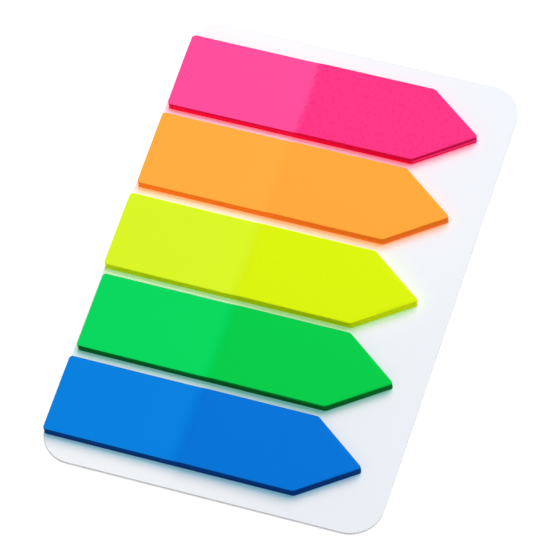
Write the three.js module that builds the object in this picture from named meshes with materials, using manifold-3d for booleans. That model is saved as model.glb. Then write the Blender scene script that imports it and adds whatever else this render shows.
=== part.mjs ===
// Five pads of arrow-shaped film index tabs, lying side by side on a clear carrier card.
//
// Millimetres, +Z up. The origin is the centre of the card's underside. +X points along the tabs
// towards their arrow tips, and +Y runs up the card, from the blue pad to the pink one.
// Every sheet of a pad is one strip of film with a square end and an arrow end. The arrow half of
// each sheet has adhesive under it, so a pad is thicker there than over its loose square half.

import * as THREE from "three";
import { mergeVertices } from "three/addons/utils/BufferGeometryUtils.js";
import Module from "manifold-3d";

// Carrier card, which reaches past the pads by these margins
const cardThickness = 0.3;
const cardCornerRadius = 4.8;
const squareEndMargin = 0.3;
const tipMargin = 4.5;
const sideMargin = 3.6;

// Outline of one sheet
const tabLength = 45.0;
const tabWidth = 12.0;
const arrowLength = 8.2;
const adhesiveLength = 25.4;
const squareCornerRadius = 0.5;
const shoulderRadius = 1.0;
const tipRadius = 0.35;

// Thickness of a pad: the loose sheets, and the same sheets with adhesive between them
const sheetsPerPad = 20;
const filmThickness = 0.0675;
const adhesiveThickness = 0.0085;
const rampLength = 2.4;

// Gap between neighbouring pads, before they are shifted
const padGap = 1.6;

// Each pad from the top of the card down, with how far it lies off the even layout, in millimetres
// and degrees, as a hand lays it
const padsOnCard = [
  { name: "pink_tab_pad", colour: 0xff4596, alongCard: -0.08, alongTab: 0.18, turn: 0.31 },
  { name: "orange_tab_pad", colour: 0xffa640, alongCard: 0.06, alongTab: 0.06, turn: 0.15 },
  { name: "yellow_tab_pad", colour: 0xdcf516, alongCard: -0.15, alongTab: -0.27, turn: -0.07 },
  { name: "green_tab_pad", colour: 0x00d056, alongCard: 0.0, alongTab: 0.2, turn: 0.0 },
  { name: "blue_tab_pad", colour: 0x007bdc, alongCard: -0.08, alongTab: -0.15, turn: 0.0 },
];

const padPitch = tabWidth + padGap;
const cardWidth = squareEndMargin + tabLength + tipMargin;
const cardHeight = tabWidth + (padsOnCard.length - 1) * padPitch + 2 * sideMargin;

const arcSegments = 6;
const cutClearance = 1.0;

const wasm = await Module();
wasm.setup();

// A closed outline through the corners, each rounded to its own radius. Corners run anticlockwise.
function roundedOutline(corners) {
  const outline = new THREE.Shape();
  corners.forEach(({ point, radius }, index) => {
    const before = corners[(index + corners.length - 1) % corners.length].point;
    const after = corners[(index + 1) % corners.length].point;
    const towardsBefore = before.clone().sub(point).normalize();
    const towardsAfter = after.clone().sub(point).normalize();
    const halfAngle = Math.acos(towardsBefore.dot(towardsAfter)) / 2;
    const tangentLength = radius / Math.tan(halfAngle);
    const arcStart = point.clone().addScaledVector(towardsBefore, tangentLength);
    const arcEnd = point.clone().addScaledVector(towardsAfter, tangentLength);
    const inward = towardsBefore.clone().add(towardsAfter).normalize();
    const centre = point.clone().addScaledVector(inward, radius / Math.sin(halfAngle));
    const startAngle = Math.atan2(arcStart.y - centre.y, arcStart.x - centre.x);
    const endAngle = Math.atan2(arcEnd.y - centre.y, arcEnd.x - centre.x);
    if (index === 0) outline.moveTo(arcStart.x, arcStart.y);
    else outline.lineTo(arcStart.x, arcStart.y);
    outline.absarc(centre.x, centre.y, radius, startAngle, endAngle, false);
  });
  outline.closePath();
  return outline;
}

function corner(x, y, radius) {
  return { point: new THREE.Vector2(x, y), radius };
}

// A three.js geometry as a manifold-3d solid
function solidOf(geometry) {
  const positions = new THREE.BufferGeometry();
  positions.setAttribute("position", geometry.getAttribute("position"));
  const merged = mergeVertices(positions, 1e-4);
  return new wasm.Manifold(
    new wasm.Mesh({
      numProp: 3,
      vertProperties: merged.getAttribute("position").array,
      triVerts: new Uint32Array(merged.index.array),
    }),
  );
}

// A manifold-3d solid as a three.js geometry
function geometryOf(solid) {
  const mesh = solid.getMesh();
  const geometry = new THREE.BufferGeometry();
  geometry.setAttribute("position", new THREE.BufferAttribute(new Float32Array(mesh.vertProperties), 3));
  geometry.setIndex(new THREE.BufferAttribute(new Uint32Array(mesh.triVerts), 1));
  return geometry;
}

// The clear card: a rectangle of film with round corners, lying on z = 0
function carrierCard() {
  const outline = roundedOutline([
    corner(-cardWidth / 2, -cardHeight / 2, cardCornerRadius),
    corner(cardWidth / 2, -cardHeight / 2, cardCornerRadius),
    corner(cardWidth / 2, cardHeight / 2, cardCornerRadius),
    corner(-cardWidth / 2, cardHeight / 2, cardCornerRadius),
  ]);
  const geometry = new THREE.ExtrudeGeometry(outline, {
    depth: cardThickness,
    bevelEnabled: false,
    curveSegments: 2 * arcSegments,
  });
  const clearFilm = new THREE.MeshStandardMaterial({ color: 0xeef2f9, roughness: 0.25, metalness: 0 });
  const card = new THREE.Mesh(geometry, clearFilm);
  card.name = "carrier_card";
  return card;
}

// The outline of a sheet: square end at x = 0, arrow tip at x = tabLength, y = 0 along its middle
function sheetOutline() {
  const shoulder = tabLength - arrowLength;
  return roundedOutline([
    corner(0, -tabWidth / 2, squareCornerRadius),
    corner(shoulder, -tabWidth / 2, shoulderRadius),
    corner(tabLength, 0, tipRadius),
    corner(shoulder, tabWidth / 2, shoulderRadius),
    corner(0, tabWidth / 2, squareCornerRadius),
  ]);
}

// The side view of a pad: low over the loose half, a soft ramp, then high over the adhesive
function padSideView() {
  const looseHeight = sheetsPerPad * filmThickness;
  const stuckHeight = sheetsPerPad * (filmThickness + adhesiveThickness);
  const rampEnd = tabLength - adhesiveLength + rampLength / 2;
  const rampStart = rampEnd - rampLength;
  const view = new THREE.Shape();
  view.moveTo(-cutClearance, 0);
  view.lineTo(tabLength + cutClearance, 0);
  view.lineTo(tabLength + cutClearance, stuckHeight);
  view.lineTo(rampEnd, stuckHeight);
  view.bezierCurveTo(
    rampEnd - rampLength / 2, stuckHeight,
    rampStart + rampLength / 2, looseHeight,
    rampStart, looseHeight,
  );
  view.lineTo(-cutClearance, looseHeight);
  view.closePath();
  return view;
}

// One pad of sheets as a solid block: the sheet's outline, cut to the pad's side view
function padGeometry() {
  const stuckHeight = sheetsPerPad * (filmThickness + adhesiveThickness);
  const block = new THREE.ExtrudeGeometry(sheetOutline(), {
    depth: stuckHeight + cutClearance,
    bevelEnabled: false,
    curveSegments: arcSegments,
  });
  const sideWidth = tabWidth + 2 * cutClearance;
  const side = new THREE.ExtrudeGeometry(padSideView(), {
    depth: sideWidth,
    bevelEnabled: false,
    curveSegments: arcSegments,
  });
  side.rotateX(Math.PI / 2);
  side.translate(0, sideWidth / 2, 0);
  return geometryOf(solidOf(block).intersect(solidOf(side)));
}

// The pads in their places, face to face with the card
function tabPads() {
  const middle = (padsOnCard.length - 1) / 2;
  const squareEndX = -cardWidth / 2 + squareEndMargin;
  return padsOnCard.map((pad, index) => {
    const mesh = new THREE.Mesh(
      padGeometry(),
      new THREE.MeshStandardMaterial({ color: pad.colour, roughness: 0.4, metalness: 0 }),
    );
    mesh.name = pad.name;
    mesh.rotation.z = THREE.MathUtils.degToRad(pad.turn);
    mesh.position.set(squareEndX + pad.alongTab, (middle - index) * padPitch + pad.alongCard, cardThickness);
    return mesh;
  });
}

const indexTabs = new THREE.Group();
indexTabs.add(carrierCard(), ...tabPads());

export default indexTabs;
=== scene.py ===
import math
import random

import bmesh
import bpy
from bpy.props import FloatProperty, FloatVectorProperty, IntProperty, PointerProperty
from mathutils import Matrix, Vector


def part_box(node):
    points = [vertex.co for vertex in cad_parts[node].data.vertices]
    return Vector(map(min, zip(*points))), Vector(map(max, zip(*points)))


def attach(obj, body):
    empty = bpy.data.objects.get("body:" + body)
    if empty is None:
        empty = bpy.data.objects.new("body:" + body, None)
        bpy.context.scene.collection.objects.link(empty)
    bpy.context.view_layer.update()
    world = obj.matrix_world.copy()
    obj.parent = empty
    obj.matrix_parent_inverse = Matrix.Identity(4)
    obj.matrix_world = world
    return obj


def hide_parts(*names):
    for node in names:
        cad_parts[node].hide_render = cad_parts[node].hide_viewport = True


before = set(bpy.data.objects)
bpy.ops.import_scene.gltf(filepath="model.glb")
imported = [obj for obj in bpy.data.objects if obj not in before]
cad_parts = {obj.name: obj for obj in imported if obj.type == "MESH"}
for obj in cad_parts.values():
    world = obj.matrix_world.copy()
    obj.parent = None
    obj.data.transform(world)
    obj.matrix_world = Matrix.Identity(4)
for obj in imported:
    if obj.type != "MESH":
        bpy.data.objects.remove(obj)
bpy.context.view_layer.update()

bl_info = {
    "name": "Sticky Index Tabs",
    "version": (1, 0, 0),
    "blender": (4, 5, 0),
    "location": "3D View > Sidebar > Index Tabs",
    "description": "Pads of arrow-shaped film index tabs on a clear carrier card",
    "category": "Object",
}

MM = 0.001
CARD_LOW, CARD_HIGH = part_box("carrier_card")


# Sizes and colours a user would change

def length(name, description, millimetres):
    """A length property, stored in metres."""
    return FloatProperty(
        name=name, description=description, default=millimetres * MM, min=0.0, unit="LENGTH", precision=5,
    )


def colour(name, description, red, green, blue):
    """A colour property. The colour is written as 0 to 255 on screen and stored as linear light."""
    def linear(level):
        shown = level / 255
        return shown / 12.92 if shown <= 0.04045 else ((shown + 0.055) / 1.055) ** 2.4

    return FloatVectorProperty(
        name=name, description=description, subtype="COLOR", size=3, min=0.0, max=1.0,
        default=(linear(red), linear(green), linear(blue)),
    )


def glow(name, description, strength):
    """A light strength, where 1 is as bright as the colour it is given."""
    return FloatProperty(name=name, description=description, default=strength, min=0.0, max=2.0)


def size(name, description, metres):
    """A size of the stage, in metres."""
    return FloatProperty(name=name, description=description, default=metres, min=0.01, unit="LENGTH")


def share(name, description, part):
    """A share from 0 to 1."""
    return FloatProperty(
        name=name, description=description, default=part, min=0.0, max=1.0, subtype="FACTOR",
    )


class CardSettings(bpy.types.PropertyGroup):
    """The clear carrier card."""
    corner_radius: length("Corner radius", "Radius of the card's four corners", 4.8)
    edge_radius: length("Edge radius", "Rounding of the cut edge", 0.09)
    # Painted shade: film and pale film are one film, painted greyer beside the arrows and lighter beside the
    # square ends for how the light falls across the card.
    film: colour("Film", "Colour of the milky clear film beside the arrows", 236, 240, 247)
    painted_light_film: colour("Pale film", "Colour of the film beside the square ends", 251, 253, 254)
    cut_edge: colour("Cut edge", "Colour of the film's cut edge", 230, 232, 235)
    # Glow reach and glow shift shape painted light: the coloured glow that the card emits beside each pad.
    glow_reach: length("Glow reach", "How far a pad's coloured light spreads in the film", 0.35)
    glow_shift: length("Glow shift", "How far slanting light carries a pad's colour down the card", 0.6)
    opacity: share("Opacity", "How much of what is under the film it hides", 0.9)


class SheetSettings(bpy.types.PropertyGroup):
    """One film sheet and how the sheets stack in a pad."""
    tab_length: length("Tab length", "Square end to the sharp corner of the arrow", 45.0)
    tab_width: length("Tab width", "Width of a sheet", 12.0)
    arrow_length: length("Arrow length", "Length of the arrow from its shoulders", 8.2)
    adhesive_length: length("Adhesive length", "How far adhesive reaches back from the arrow's corner", 25.4)
    square_corner_radius: length("Square corner radius", "Rounding at the square end", 0.5)
    shoulder_radius: length("Shoulder radius", "Rounding at the arrow's shoulders", 1.0)
    tip_radius: length("Tip radius", "Rounding at the arrow's tip", 0.35)
    film_thickness: length("Film thickness", "Thickness of one sheet", 0.0675)
    adhesive_thickness: length("Adhesive thickness", "Adhesive under the arrow half of a sheet", 0.0085)
    ramp_length: length("Ramp length", "Where the loose half meets the stuck half", 2.4)
    cut_rounding: length("Cut rounding", "How far the die rolls the top sheet's edge down", 0.07)
    drift: length("Drift", "How far the sheets wander sideways through a pad", 0.045)
    sheets: IntProperty(name="Sheets", description="Sheets in a pad", default=20, min=2, max=60)


class PinkFilm(bpy.types.PropertyGroup):
    """Fluorescent pink film."""
    loose: colour("Loose half", "Colour over the loose square half", 252, 75, 152)
    stuck: colour("Stuck half", "Colour over the adhesive", 250, 52, 130)
    cut_edge: colour("Cut edge", "Colour of the stacked cut edges", 246, 2, 84)
    edge_glow: glow("Edge glow", "Light the dye sends out of the cut edges", 0.08)
    halo: colour("Halo", "Coloured light on the card beside the pad", 235, 60, 100)
    dimples: length("Dimples", "Depth of the dimples over the adhesive", 0.012)
    # Painted highlight: this share paints a lighter, glowing strip on the arrow's cut edge where middle
    # sheets would catch light.
    painted_highlight: share("Painted highlight", "How much the arrow's middle sheets fan out and catch light", 0.9)


class OrangeFilm(bpy.types.PropertyGroup):
    """Fluorescent orange film."""
    loose: colour("Loose half", "Colour over the loose square half", 254, 169, 64)
    stuck: colour("Stuck half", "Colour over the adhesive", 254, 164, 58)
    cut_edge: colour("Cut edge", "Colour of the stacked cut edges", 252, 122, 34)
    edge_glow: glow("Edge glow", "Light the dye sends out of the cut edges", 0.3)
    halo: colour("Halo", "Coloured light on the card beside the pad", 205, 112, 45)
    dimples: length("Dimples", "Depth of the dimples over the adhesive", 0.002)
    painted_highlight: share("Painted highlight", "How much the arrow's middle sheets fan out and catch light", 0.0)


class YellowFilm(bpy.types.PropertyGroup):
    """Fluorescent yellow film."""
    loose: colour("Loose half", "Colour over the loose square half", 215, 242, 36)
    stuck: colour("Stuck half", "Colour over the adhesive", 214, 238, 8)
    cut_edge: colour("Cut edge", "Colour of the stacked cut edges", 228, 254, 2)
    edge_glow: glow("Edge glow", "Light the dye sends out of the cut edges", 0.2)
    halo: colour("Halo", "Coloured light on the card beside the pad", 92, 146, 78)
    dimples: length("Dimples", "Depth of the dimples over the adhesive", 0.002)
    painted_highlight: share("Painted highlight", "How much the arrow's middle sheets fan out and catch light", 0.0)


class GreenFilm(bpy.types.PropertyGroup):
    """Fluorescent green film."""
    loose: colour("Loose half", "Colour over the loose square half", 1, 213, 92)
    stuck: colour("Stuck half", "Colour over the adhesive", 1, 201, 72)
    cut_edge: colour("Cut edge", "Colour of the stacked cut edges", 0, 118, 42)
    edge_glow: glow("Edge glow", "Light the dye sends out of the cut edges", 0.02)
    halo: colour("Halo", "Coloured light on the card beside the pad", 8, 122, 108)
    dimples: length("Dimples", "Depth of the dimples over the adhesive", 0.002)
    painted_highlight: share("Painted highlight", "How much the arrow's middle sheets fan out and catch light", 0.0)


class BlueFilm(bpy.types.PropertyGroup):
    """Bright blue film."""
    loose: colour("Loose half", "Colour over the loose square half", 1, 127, 221)
    stuck: colour("Stuck half", "Colour over the adhesive", 1, 114, 212)
    cut_edge: colour("Cut edge", "Colour of the stacked cut edges", 0, 62, 140)
    edge_glow: glow("Edge glow", "Light the dye sends out of the cut edges", 0.01)
    halo: colour("Halo", "Coloured light on the card beside the pad", 30, 112, 128)
    dimples: length("Dimples", "Depth of the dimples over the adhesive", 0.002)
    painted_highlight: share("Painted highlight", "How much the arrow's middle sheets fan out and catch light", 0.0)


class StageSettings(bpy.types.PropertyGroup):
    """Floor, light and camera."""
    floor_size: size("Floor size", "Side of the floor", 3.0)
    sky: glow("Sky", "Even light from all round", 0.35)
    window_power: FloatProperty(
        name="Window power", description="Watts of the large soft lamp", default=6.5, min=0.0,
    )
    window_size: size("Window size", "Side of the soft lamp", 0.66)
    window_distance: size("Window distance", "Lamp to the tabs", 0.8)
    lens: FloatProperty(name="Lens", description="Focal length", default=321.4, min=1.0, unit="CAMERA")


FILMS = (PinkFilm, OrangeFilm, YellowFilm, GreenFilm, BlueFilm)


class TabSettings(bpy.types.PropertyGroup):
    """All settings of the index tabs."""
    card: PointerProperty(type=CardSettings)
    sheet: PointerProperty(type=SheetSettings)
    pink: PointerProperty(type=PinkFilm)
    orange: PointerProperty(type=OrangeFilm)
    yellow: PointerProperty(type=YellowFilm)
    green: PointerProperty(type=GreenFilm)
    blue: PointerProperty(type=BlueFilm)
    stage: PointerProperty(type=StageSettings)


# Where each pad lies: its square end's middle in millimetres, and its turn in degrees
PAD_PLACES = {
    "pink": (-24.42, 27.12, 0.31),
    "orange": (-24.54, 13.66, 0.15),
    "yellow": (-24.87, -0.15, -0.07),
    "green": (-24.4, -13.6, 0.0),
    "blue": (-24.75, -27.28, 0.0),
}


# Shader maths

class Level:
    """A number that changes over a surface. Arithmetic on it adds Math nodes."""

    def __init__(self, finish, socket):
        self.finish = finish
        self.socket = socket

    def _math(self, operation, first, second):
        return self.finish.node("ShaderNodeMath", {"operation": operation}, {0: first, 1: second})

    def __add__(self, other):
        return self._math("ADD", self, other)

    def __sub__(self, other):
        return self._math("SUBTRACT", self, other)

    def __rsub__(self, other):
        return self._math("SUBTRACT", other, self)

    def __mul__(self, other):
        return self._math("MULTIPLY", self, other)

    def __abs__(self):
        return self._math("ABSOLUTE", self, 0.0)

    def at_least(self, other):
        """The larger of this and another number."""
        return self._math("MAXIMUM", self, other)

    def exponential(self):
        """e to the power of this."""
        return self._math("EXPONENT", self, 0.0)

    __radd__ = __add__
    __rmul__ = __mul__


# The numbers of a colour Mix node's sockets, whose names its number sockets share
MIX_FACTOR, MIX_FIRST, MIX_SECOND, MIX_RESULT = 0, 6, 7, 2


class Finish:
    """A procedural material or world, written node by node from Python."""

    def __init__(self, name, world=False):
        self.owner = bpy.data.worlds.new(name) if world else bpy.data.materials.new(name)
        self.owner.use_nodes = True
        self.tree = self.owner.node_tree
        self.tree.nodes.clear()

    def node(self, kind, settings=None, inputs=None, output=0):
        """Adds a node: its settings first, then its sockets, then returns one of its outputs."""
        made = self.tree.nodes.new(kind)
        for key, value in (settings or {}).items():
            setattr(made, key, value)
        for key, value in (inputs or {}).items():
            if isinstance(value, Level):
                self.tree.links.new(value.socket, made.inputs[key])
            else:
                made.inputs[key].default_value = value
        return Level(self, made.outputs[output]) if made.outputs else made

    def place(self):
        """Object coordinates, in metres."""
        return self.node("ShaderNodeTexCoord", output="Object")

    def along_axis(self, axis):
        """One object coordinate, X, Y or Z, in metres."""
        return self.node("ShaderNodeSeparateXYZ", None, {"Vector": self.place()}, axis)

    def noise(self, scale, detail=2.0):
        """Soft noise from 0 to 1, with scale in features per metre, or one scale for each axis."""
        scales = scale if isinstance(scale, tuple) else (scale, scale, scale)
        place = self.node("ShaderNodeMapping", None, {"Vector": self.place(), "Scale": scales})
        inputs = {"Vector": place, "Scale": 1.0, "Detail": detail}
        return self.node("ShaderNodeTexNoise", None, inputs, "Fac")

    def step(self, level, start, end):
        """Rises smoothly from 0 at start to 1 at end."""
        settings = {"interpolation_type": "SMOOTHSTEP"}
        inputs = {"Value": level, "From Min": start, "From Max": end}
        return self.node("ShaderNodeMapRange", settings, inputs)

    def mix(self, factor, first, second):
        """Mixes two colours, from all first at 0 to all second at 1."""
        inputs = {MIX_FACTOR: factor, MIX_FIRST: first, MIX_SECOND: second}
        return self.node("ShaderNodeMix", {"data_type": "RGBA"}, inputs, MIX_RESULT)

    def surface(self, inputs):
        """The plastic shader that the material ends in."""
        shader = self.node("ShaderNodeBsdfPrincipled", None, inputs)
        self.node("ShaderNodeOutputMaterial", None, {"Surface": shader})
        return self.owner

    def seen_directly(self):
        """1 for the rays that show this surface itself, in a mirror or through glass too."""
        camera = self.node("ShaderNodeLightPath", output="Is Camera Ray")
        glossy = self.node("ShaderNodeLightPath", output="Is Glossy Ray")
        through = self.node("ShaderNodeLightPath", output="Is Transmission Ray")
        return camera + glossy + through


BLACK = (0.0, 0.0, 0.0, 1.0)
WHITE = (1.0, 1.0, 1.0, 1.0)


def opaque(rgb, level=1.0):
    """A colour property as a four-part colour, scaled by level."""
    return tuple(min(1.0, channel * level) for channel in rgb) + (1.0,)


# Outlines

# Points round each corner, and the longest step between two points
SQUARE_CORNER_STEPS = 8
SHOULDER_STEPS = 6
TIP_STEPS = 16
OUTLINE_STEP = 0.4 * MM


def fillet(before, at, after, radius, steps):
    """Points of the rounded corner at a point between two neighbours."""
    towards_before = (before - at).normalized()
    towards_after = (after - at).normalized()
    half = math.acos(towards_before.dot(towards_after)) / 2
    start = at + towards_before * (radius / math.tan(half))
    centre = at + (towards_before + towards_after).normalized() * (radius / math.sin(half))
    turn = math.pi - 2 * half
    if (at - before).cross(after - at) < 0:
        turn = -turn
    arm = start - centre
    return [centre + Matrix.Rotation(turn * i / steps, 2) @ arm for i in range(steps + 1)]


def subdivided(points, spacing):
    """The same path, with every piece cut to at most spacing."""
    path = [points[0]]
    for here, there in zip(points, points[1:]):
        cuts = max(1, math.ceil((there - here).length / spacing))
        path += [here.lerp(there, i / cuts) for i in range(1, cuts + 1)]
    return path


def upper_edge(sheet):
    """The sheet's outline over y = 0, from the square end's middle to the arrow's tip."""
    half_width = sheet.tab_width / 2
    end_middle = Vector((0.0, 0.0))
    square_corner = Vector((0.0, half_width))
    shoulder = Vector((sheet.tab_length - sheet.arrow_length, half_width))
    tip = Vector((sheet.tab_length, 0.0))
    mirrored_shoulder = Vector((shoulder.x, -half_width))
    tip_arc = fillet(shoulder, tip, mirrored_shoulder, sheet.tip_radius, TIP_STEPS)
    path = fillet(end_middle, square_corner, shoulder, sheet.square_corner_radius, SQUARE_CORNER_STEPS)
    path += fillet(square_corner, shoulder, tip, sheet.shoulder_radius, SHOULDER_STEPS)
    path += tip_arc[: len(tip_arc) // 2 + 1]
    return subdivided(path, OUTLINE_STEP)


# Pads of film sheets

# Air between two sheets, as a share of a sheet's thickness
AIR = 0.08
# Where a sheet's points lie across the tab, from -1 to 1. The top sheet has more, to roll its edge.
PLAIN_COLUMNS = (-1.0, 0.0, 1.0)
TOP_COLUMNS = (-1.0, -0.991, -0.98, -0.7, -0.35, 0.0, 0.35, 0.7, 0.98, 0.991, 1.0)
# How deep the rolled edge of the top sheet goes, as a share of its width
ROLL_DEPTH = 0.45
# How much of the drift of the sheet under it a sheet keeps, its own shares of the setting along and
# across the tab, and the most that it turns by itself
DRIFT_KEPT = 0.85
DRIFT_ALONG = 0.5
DRIFT_ACROSS = 0.6
DRIFT_TURN = math.radians(0.03)
FIRST_SEED = 11
# Points closer than this are one point, and shorter edges than this are none
WELD_DISTANCE = 1e-7
SHORTEST_EDGE = 1e-8
# Places of the two materials on a pad or on the card
FACE, CUT_EDGE = 0, 1


def rise(sheet, x):
    """How far a point along the tab is from the loose half, 0, to the stuck half, 1."""
    ramp_start = sheet.tab_length - sheet.adhesive_length - sheet.ramp_length / 2
    climbed = min(1.0, max(0.0, (x - ramp_start) / sheet.ramp_length))
    return climbed * climbed * (3 - 2 * climbed)


def edge_drop(sheet, column, point, tip_x):
    """How far the die rolled the top sheet's face down at a point near its outline."""
    to_outline = min(point.x, max(0.0, tip_x - point.x), (1 - abs(column)) * point.y)
    return sheet.cut_rounding * ROLL_DEPTH * max(0.0, 1 - to_outline / sheet.cut_rounding) ** 2


def add_sheet(mesh, sheet, edge, number, shift, is_top):
    """Adds one closed film sheet to the pad's mesh, a ribbon of rows across the tab."""
    along, across, turn = shift
    air = AIR * sheet.film_thickness if number else 0.0
    columns = TOP_COLUMNS if is_top else PLAIN_COLUMNS
    move = Matrix.Translation((along, across, 0.0)) @ Matrix.Rotation(turn, 4, "Z")
    rows = []
    for point in edge:
        stuck = rise(sheet, point.x)
        base = number * sheet.film_thickness + (number + 1) * sheet.adhesive_thickness * stuck + air
        top = (number + 1) * (sheet.film_thickness + sheet.adhesive_thickness * stuck)
        lower = [Vector((point.x, column * point.y, base)) for column in columns]
        upper = [Vector((point.x, column * point.y, top)) for column in columns]
        if is_top and sheet.cut_rounding:
            for column, place in zip(columns, upper):
                place.z -= edge_drop(sheet, column, point, edge[-1].x)
        rows.append([mesh.verts.new(move @ place) for place in lower + upper])

    count = len(columns)
    last = count - 1
    for here, there in zip(rows, rows[1:]):
        for i in range(last):
            mesh.faces.new((here[i], here[i + 1], there[i + 1], there[i])).material_index = FACE
            j = count + i
            upper = mesh.faces.new((here[j], there[j], there[j + 1], here[j + 1]))
            upper.smooth = is_top
            # The top sheet's rolled rim takes the cut-edge material, which draws a thin line in the edge's
            # colour round the top.
            upper.material_index = CUT_EDGE if is_top and i in (0, last - 1) else FACE
        near = (here[0], there[0], there[count], here[count])
        far = (here[count + last], there[count + last], there[last], here[last])
        for wall in (near, far):
            mesh.faces.new(wall).material_index = CUT_EDGE
    square_end = rows[0]
    for i in range(last):
        wall = (square_end[i + 1], square_end[i], square_end[count + i], square_end[count + i + 1])
        mesh.faces.new(wall).material_index = CUT_EDGE


def pad_mesh(name, sheet, seed):
    """A pad of sheets, each a little off the one under it. The top sheet lies true."""
    draw = random.Random(seed)
    edge = upper_edge(sheet)
    mesh = bmesh.new()
    along = across = turn = 0.0
    for number in range(sheet.sheets):
        along = DRIFT_KEPT * along + draw.uniform(-1, 1) * sheet.drift * DRIFT_ALONG
        across = DRIFT_KEPT * across + draw.uniform(-1, 1) * sheet.drift * DRIFT_ACROSS
        turn = DRIFT_KEPT * turn + draw.uniform(-1, 1) * DRIFT_TURN
        is_top = number == sheet.sheets - 1
        shift = (0.0, 0.0, 0.0) if is_top else (max(0.0, along), across, turn)
        add_sheet(mesh, sheet, edge, number, shift, is_top)
    bmesh.ops.remove_doubles(mesh, verts=mesh.verts, dist=WELD_DISTANCE)
    bmesh.ops.dissolve_degenerate(mesh, edges=mesh.edges, dist=SHORTEST_EDGE)
    bmesh.ops.recalc_face_normals(mesh, faces=mesh.faces)
    data = bpy.data.meshes.new(name)
    mesh.to_mesh(data)
    mesh.free()
    return data


# How the adhesive shows through a film: how far its border wanders and blurs, and how strong its
# strokes are. A film counts as dimpled where its dimples are deeper than DIMPLED_FROM.
DIMPLED_FROM = 0.005 * MM
DIMPLED = {"wander": 0.9 * MM, "blur": 0.7 * MM, "strokes": 0.8}
SMOOTH = {"wander": 0.25 * MM, "blur": 1.1 * MM, "strokes": 0.08}
FILM_GLOSS = 0.02
# Painted highlight on the arrow's cut edge, a strip that stands for the middle sheets catching light: how
# much brighter it glows than the rest of a cut edge, how high in the pad its middle lies, and how far from
# it, up or down, it starts and stops fading
HIGHLIGHT_GLOW = 4.0
HIGHLIGHT_MIDDLE = 0.42
HIGHLIGHT_FULL = 0.16 * MM
HIGHLIGHT_END = 0.36 * MM


def film_face(name, film, sheet):
    """Satin film: lighter over the loose half, deeper and finely stroked over the adhesive."""
    finish = Finish(name)
    look = DIMPLED if film.dimples > DIMPLED_FROM else SMOOTH
    border = sheet.tab_length - sheet.adhesive_length
    wander = (finish.noise(scale=1400.0, detail=3.0) - 0.5) * (2 * look["wander"])
    along = finish.along_axis("X") + wander
    stuck = finish.step(along, border - look["blur"], border + look["blur"])
    cloud = finish.noise(scale=90.0)
    grain = finish.noise(scale=(2600.0, 1100.0, 2600.0))
    strokes = finish.step(grain, start=0.5, end=0.64) * look["strokes"]
    loose = finish.mix(cloud, opaque(film.loose, level=0.985), opaque(film.loose, level=1.015))
    pressed = finish.mix(strokes, opaque(film.stuck, level=1.02), opaque(film.stuck, level=0.87))
    at_border = (1 - abs(stuck * 2 - 1)) * strokes
    height = grain * stuck + finish.noise(scale=160.0, detail=1.0) * 0.1
    bump = {"Height": height, "Strength": 1.0, "Distance": film.dimples}
    halves = finish.mix(stuck, loose, pressed)
    return finish.surface({
        "Base Color": finish.mix(at_border, halves, opaque(film.stuck, level=0.9)),
        "Roughness": stuck * 0.08 + 0.38 + cloud * 0.04,
        "Normal": finish.node("ShaderNodeBump", None, bump, "Normal"),
        "Specular IOR Level": FILM_GLOSS,
    })


def film_cut_edge(name, film, sheet):
    """Stacked cut edges: deeper than the face, in fine bands, sheet by sheet. Painted light: the edges glow
    by emission, and a painted highlight strip runs across the arrow's middle sheets.
    """
    finish = Finish(name)
    bands = finish.noise(scale=(60.0, 60.0, 2400.0), detail=3.0)
    shade = finish.step(bands, start=0.38, end=0.62)
    banded = finish.mix(shade, opaque(film.cut_edge, level=1.1), opaque(film.cut_edge, level=0.78))
    shoulder = sheet.tab_length - sheet.arrow_length
    # Painted highlight: a lighter strip, glowing brighter, across the arrow's middle sheets.
    on_arrow = finish.step(finish.along_axis("X"), start=shoulder - 0.3 * MM, end=shoulder + 0.5 * MM)
    off_middle = abs(finish.along_axis("Z") - HIGHLIGHT_MIDDLE * sheet.sheets * sheet.film_thickness)
    painted_highlight = on_arrow * (1 - finish.step(off_middle, HIGHLIGHT_FULL, HIGHLIGHT_END)) * film.painted_highlight
    # Painted light: the cut edge glows by emission, the highlight strip most.
    glow_colour = finish.mix(painted_highlight, opaque(film.cut_edge, level=1 / HIGHLIGHT_GLOW), opaque(film.stuck))
    return finish.surface({
        "Base Color": finish.mix(painted_highlight, banded, opaque(film.stuck, level=1.15)),
        "Roughness": 0.42 + bands * 0.1,
        "Specular IOR Level": FILM_GLOSS,
        "Emission Color": glow_colour,
        "Emission Strength": film.edge_glow * HIGHLIGHT_GLOW,
    })


class OBJECT_OT_index_tab_pads(bpy.types.Operator):
    """Builds the five pads of arrow-shaped film tabs"""
    bl_idname = "object.index_tab_pads"
    bl_label = "Tab Pads"

    def execute(self, context):
        settings = context.scene.index_tabs
        for number, (name, (x, y, turn)) in enumerate(PAD_PLACES.items()):
            film = getattr(settings, name)
            data = pad_mesh(f"{name}_pad_mesh", settings.sheet, FIRST_SEED + number)
            data.materials.append(film_face(f"{name} film", film, settings.sheet))
            data.materials.append(film_cut_edge(f"{name} film cut edge", film, settings.sheet))
            pad = bpy.data.objects.new(f"{name}_sheets", data)
            context.scene.collection.objects.link(pad)
            pad.location = (x * MM, y * MM, CARD_HIGH.z)
            pad.rotation_euler.z = math.radians(turn)
            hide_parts(f"{name}_tab_pad")
            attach(pad, "root")
        return {"FINISHED"}


# Carrier card

# Points round each corner, and from the card's face round to its edge
CARD_CORNER_STEPS = 24
CARD_EDGE_STEPS = 4
CARD_GLOSS = 0.2
# How strongly a pad shows through from under the film, and how soft its outline is there
SHOWS_THROUGH = 0.85
THROUGH_BLUR = 0.1 * MM
# Painted light: how far the light carries a pad's colour along the card, for each step down it
GLOW_SLANT = 0.4


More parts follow.
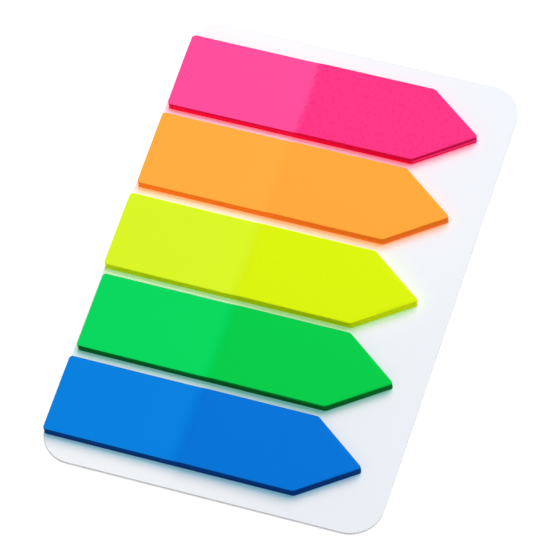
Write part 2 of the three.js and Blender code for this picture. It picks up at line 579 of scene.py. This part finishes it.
def card_outline(card, inset, steps):
    """The card's rounded outline, anticlockwise, set in from its edge."""
    low = Vector((CARD_LOW.x + inset, CARD_LOW.y + inset))
    high = Vector((CARD_HIGH.x - inset, CARD_HIGH.y - inset))
    corners = [low, Vector((high.x, low.y)), high, Vector((low.x, high.y))]
    path = []
    for i, at in enumerate(corners):
        path += fillet(corners[i - 1], at, corners[(i + 1) % 4], card.corner_radius - inset, steps)
    return path


def card_mesh(card):
    """The card: flat film whose cut edge is rounded over, top and bottom."""
    radius = card.edge_radius
    turns = [math.pi / 2 * i / CARD_EDGE_STEPS for i in range(CARD_EDGE_STEPS + 1)]
    lower = [(radius * (1 - math.cos(t)), CARD_LOW.z + radius * (1 - math.sin(t))) for t in reversed(turns)]
    upper = [(radius * (1 - math.cos(t)), CARD_HIGH.z - radius * (1 - math.sin(t))) for t in turns]
    mesh = bmesh.new()
    rings = []
    for inset, z in lower + upper:
        outline = card_outline(card, inset, CARD_CORNER_STEPS)
        rings.append([mesh.verts.new((*point, z)) for point in outline])
    count = len(rings[0])
    for low_ring, high_ring in zip(rings, rings[1:]):
        for i in range(count):
            after = (i + 1) % count
            wall = mesh.faces.new((low_ring[i], low_ring[after], high_ring[after], high_ring[i]))
            wall.material_index = CUT_EDGE
            wall.smooth = True
    mesh.faces.new(rings[0][::-1]).material_index = FACE
    mesh.faces.new(rings[-1]).material_index = FACE
    data = bpy.data.meshes.new("card_film_mesh")
    mesh.to_mesh(data)
    mesh.free()
    return data


def reach_from_pad(sheet, x, y, place):
    """How far a point of the card lies outside a pad's outline. Under the pad it is negative."""
    left, middle, turn = place[0] * MM, place[1] * MM, math.radians(place[2])
    along = (x - left) * math.cos(turn) + (y - middle) * math.sin(turn)
    across = abs((y - middle) * math.cos(turn) - (x - left) * math.sin(turn))
    half_width = sheet.tab_width / 2
    slant = math.hypot(half_width, sheet.arrow_length)
    past_arrow = (along - sheet.tab_length) * (half_width / slant) + across * (sheet.arrow_length / slant)
    tip = sheet.tab_length - sheet.tip_radius * (slant / half_width - 1)
    return (across - half_width).at_least(0.0 - along).at_least(past_arrow).at_least(along - tip)


def clear_film(settings):
    """Milky clear film that shows the pads through it, with painted shade across it and the pads' coloured
    light painted on as emission beside them.
    """
    card = settings.card
    finish = Finish("card film")
    cloud = finish.noise(scale=35.0)
    x, y = finish.along_axis("X"), finish.along_axis("Y")
    # Painted shade: lighter towards the square ends, greyer towards the arrows, with a little random tone.
    shade = finish.step(x, CARD_LOW.x, CARD_HIGH.x) * 0.8 + cloud * 0.2
    base = finish.mix(shade, opaque(card.painted_light_film), opaque(card.film))
    # Painted light: the card emits each pad's halo colour beside the pad, shifted down the card away from
    # the lamp.
    lit_x, lit_y = x + card.glow_shift * GLOW_SLANT, y + card.glow_shift
    halo = BLACK
    for name, place in PAD_PLACES.items():
        film = getattr(settings, name)
        covered = 1 - finish.step(reach_from_pad(settings.sheet, x, y, place), -THROUGH_BLUR, 0.0)
        base = finish.mix(covered * SHOWS_THROUGH, base, opaque(film.stuck))
        away = reach_from_pad(settings.sheet, lit_x, lit_y, place).at_least(0.0)
        spread = (away * (-1 / card.glow_reach)).exponential()
        halo = finish.mix(spread * (1 - covered), halo, opaque(film.halo))
    return finish.surface({
        "Base Color": base,
        "Alpha": card.opacity,
        "Roughness": 0.3 + cloud * 0.06,
        "Specular IOR Level": CARD_GLOSS,
        "Emission Color": halo,
        "Emission Strength": 1.0,
    })


def clear_film_edge(card):
    """The cut edge of the clear film, which looks greyer than its face."""
    finish = Finish("card film cut edge")
    cloud = finish.noise(scale=220.0)
    lighter, darker = opaque(card.cut_edge, level=1.1), opaque(card.cut_edge, level=0.85)
    return finish.surface({
        "Base Color": finish.mix(cloud, lighter, darker),
        "Roughness": 0.3 + cloud * 0.1,
        "Specular IOR Level": CARD_GLOSS,
    })


class OBJECT_OT_index_tab_card(bpy.types.Operator):
    """Builds the clear carrier card"""
    bl_idname = "object.index_tab_card"
    bl_label = "Carrier Card"

    def execute(self, context):
        settings = context.scene.index_tabs
        data = card_mesh(settings.card)
        data.materials.append(clear_film(settings))
        data.materials.append(clear_film_edge(settings.card))
        film = bpy.data.objects.new("card_film", data)
        context.scene.collection.objects.link(film)
        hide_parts("carrier_card")
        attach(film, "root")
        return {"FINISHED"}


# Floor, light and camera

# The floor lies this far under the card, and glows this much where it is seen
FLOOR_GAP = 0.02 * MM
FLOOR_GLOW = 0.42
# Which way the window lies from the tabs
TOWARDS_WINDOW = Vector((0.16, 0.56, 0.85)).normalized()
# Where the camera stands, in millimetres, and which way its frame's right, its down and its view point
CAMERA_PLACE = Vector((153.26, -304.98, 620.44))
CAMERA_RIGHT = Vector((0.9486, 0.30474, -0.08545))
CAMERA_DOWN = Vector((0.23053, -0.85027, -0.47317))
CAMERA_FORWARD = Vector((-0.21685, 0.42915, -0.87682))
# The sensor's width in millimetres, and how far the camera sees in metres
SENSOR_WIDTH = 36.0
FARTHEST_SEEN = 10.0


def floor_white():
    """A white floor that shows pure white to the camera and keeps its shadow."""
    finish = Finish("floor white")
    tone = finish.noise(scale=3.0, detail=1.0) * 0.01 + 0.9
    grey = {"Red": tone, "Green": tone, "Blue": tone}
    return finish.surface({
        "Base Color": finish.node("ShaderNodeCombineColor", None, grey),
        "Roughness": 0.9,
        "Specular IOR Level": 0.1,
        "Emission Color": finish.mix(finish.seen_directly(), BLACK, WHITE),
        "Emission Strength": FLOOR_GLOW,
    })


def white_world(stage):
    """Even light from all round, plain white where it is seen."""
    finish = Finish("studio white", world=True)
    light = finish.node("ShaderNodeBackground", None, {"Color": WHITE, "Strength": stage.sky})
    white = finish.node("ShaderNodeBackground", None, {"Color": WHITE, "Strength": 1.0})
    both = finish.node("ShaderNodeMixShader", None, {0: finish.seen_directly(), 1: light, 2: white})
    finish.node("ShaderNodeOutputWorld", None, {"Surface": both})
    return finish.owner


class OBJECT_OT_index_tab_stage(bpy.types.Operator):
    """Builds the floor, the light and the camera"""
    bl_idname = "object.index_tab_stage"
    bl_label = "Stage"

    def execute(self, context):
        stage = context.scene.index_tabs.stage
        half = stage.floor_size / 2
        level = CARD_LOW.z - FLOOR_GAP
        data = bpy.data.meshes.new("floor_mesh")
        corners = [(-half, -half, level), (half, -half, level), (half, half, level), (-half, half, level)]
        data.from_pydata(corners, [], [(0, 1, 2, 3)])
        data.materials.append(floor_white())
        floor = bpy.data.objects.new("floor", data)
        context.scene.collection.objects.link(floor)

        context.scene.world = white_world(stage)
        window = bpy.data.lights.new("window", "AREA")
        window.energy = stage.window_power
        window.size = stage.window_size
        lamp = bpy.data.objects.new("window", window)
        lamp.location = TOWARDS_WINDOW * stage.window_distance
        lamp.rotation_euler = TOWARDS_WINDOW.to_track_quat("Z", "Y").to_euler()
        context.scene.collection.objects.link(lamp)

        camera_data = bpy.data.cameras.new("camera")
        camera_data.sensor_width = SENSOR_WIDTH
        camera_data.lens = stage.lens
        camera_data.clip_end = FARTHEST_SEEN
        camera = bpy.data.objects.new("camera", camera_data)
        turn = Matrix((CAMERA_RIGHT, -CAMERA_DOWN, -CAMERA_FORWARD)).transposed()
        camera.matrix_world = Matrix.Translation(CAMERA_PLACE * MM) @ turn.to_4x4()
        context.scene.collection.objects.link(camera)
        context.scene.camera = camera
        context.scene.view_settings.view_transform = "Standard"
        return {"FINISHED"}


class VIEW3D_PT_index_tabs(bpy.types.Panel):
    """Lists the settings and the pieces"""
    bl_idname = "VIEW3D_PT_index_tabs"
    bl_label = "Index Tabs"
    bl_space_type = "VIEW_3D"
    bl_region_type = "UI"
    bl_category = "Index Tabs"

    def draw(self, context):
        settings = context.scene.index_tabs
        for title in TabSettings.__annotations__:
            box = self.layout.box()
            box.label(text=title.capitalize())
            group = getattr(settings, title)
            for name in type(group).__annotations__:
                box.prop(group, name)
        for operator in OPERATORS:
            self.layout.operator(operator.bl_idname)


OPERATORS = (OBJECT_OT_index_tab_card, OBJECT_OT_index_tab_pads, OBJECT_OT_index_tab_stage)
CLASSES = (
    CardSettings, SheetSettings, *FILMS, StageSettings, TabSettings, *OPERATORS, VIEW3D_PT_index_tabs,
)


def register():
    for cls in CLASSES:
        bpy.utils.register_class(cls)
    bpy.types.Scene.index_tabs = PointerProperty(type=TabSettings)


def unregister():
    del bpy.types.Scene.index_tabs
    for cls in reversed(CLASSES):
        bpy.utils.unregister_class(cls)


def main():
    register()
    bpy.ops.object.index_tab_card()
    bpy.ops.object.index_tab_pads()
    bpy.ops.object.index_tab_stage()


if __name__ == "__main__":
    main()
